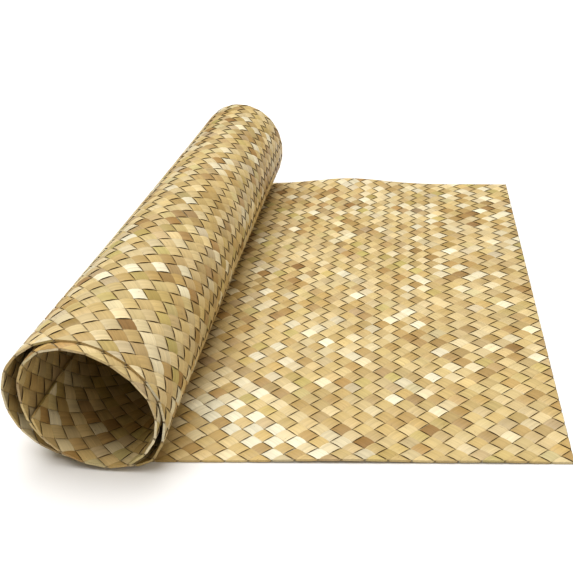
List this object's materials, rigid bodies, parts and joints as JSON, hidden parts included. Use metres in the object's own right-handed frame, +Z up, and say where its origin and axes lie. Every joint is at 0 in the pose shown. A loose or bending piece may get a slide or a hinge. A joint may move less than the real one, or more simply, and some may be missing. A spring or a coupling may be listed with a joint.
{
  "type": "plaited pandan floor mat, partly rolled up",
  "caption": "Rectangular plaited leaf floor mat, its free part lying flat and the rest wound into a loose open roll along one side.",
  "frame": {"origin": "on the ground, under the middle of the mat's bounding box", "axes": "+Z up, +Y along the roll from the end nearer the picture's viewer to the far end, +X across the roll towards the free end"},
  "size_m": [0.6806, 0.9552, 0.1858],
  "materials": {
    "pandan": "matt dry leaf strips, straw coloured, plaited over one under one at 45 degrees to the edges"
  },
  "bodies": {
    "root": {"mat": "pandan"}
  },
  "joints": []
}
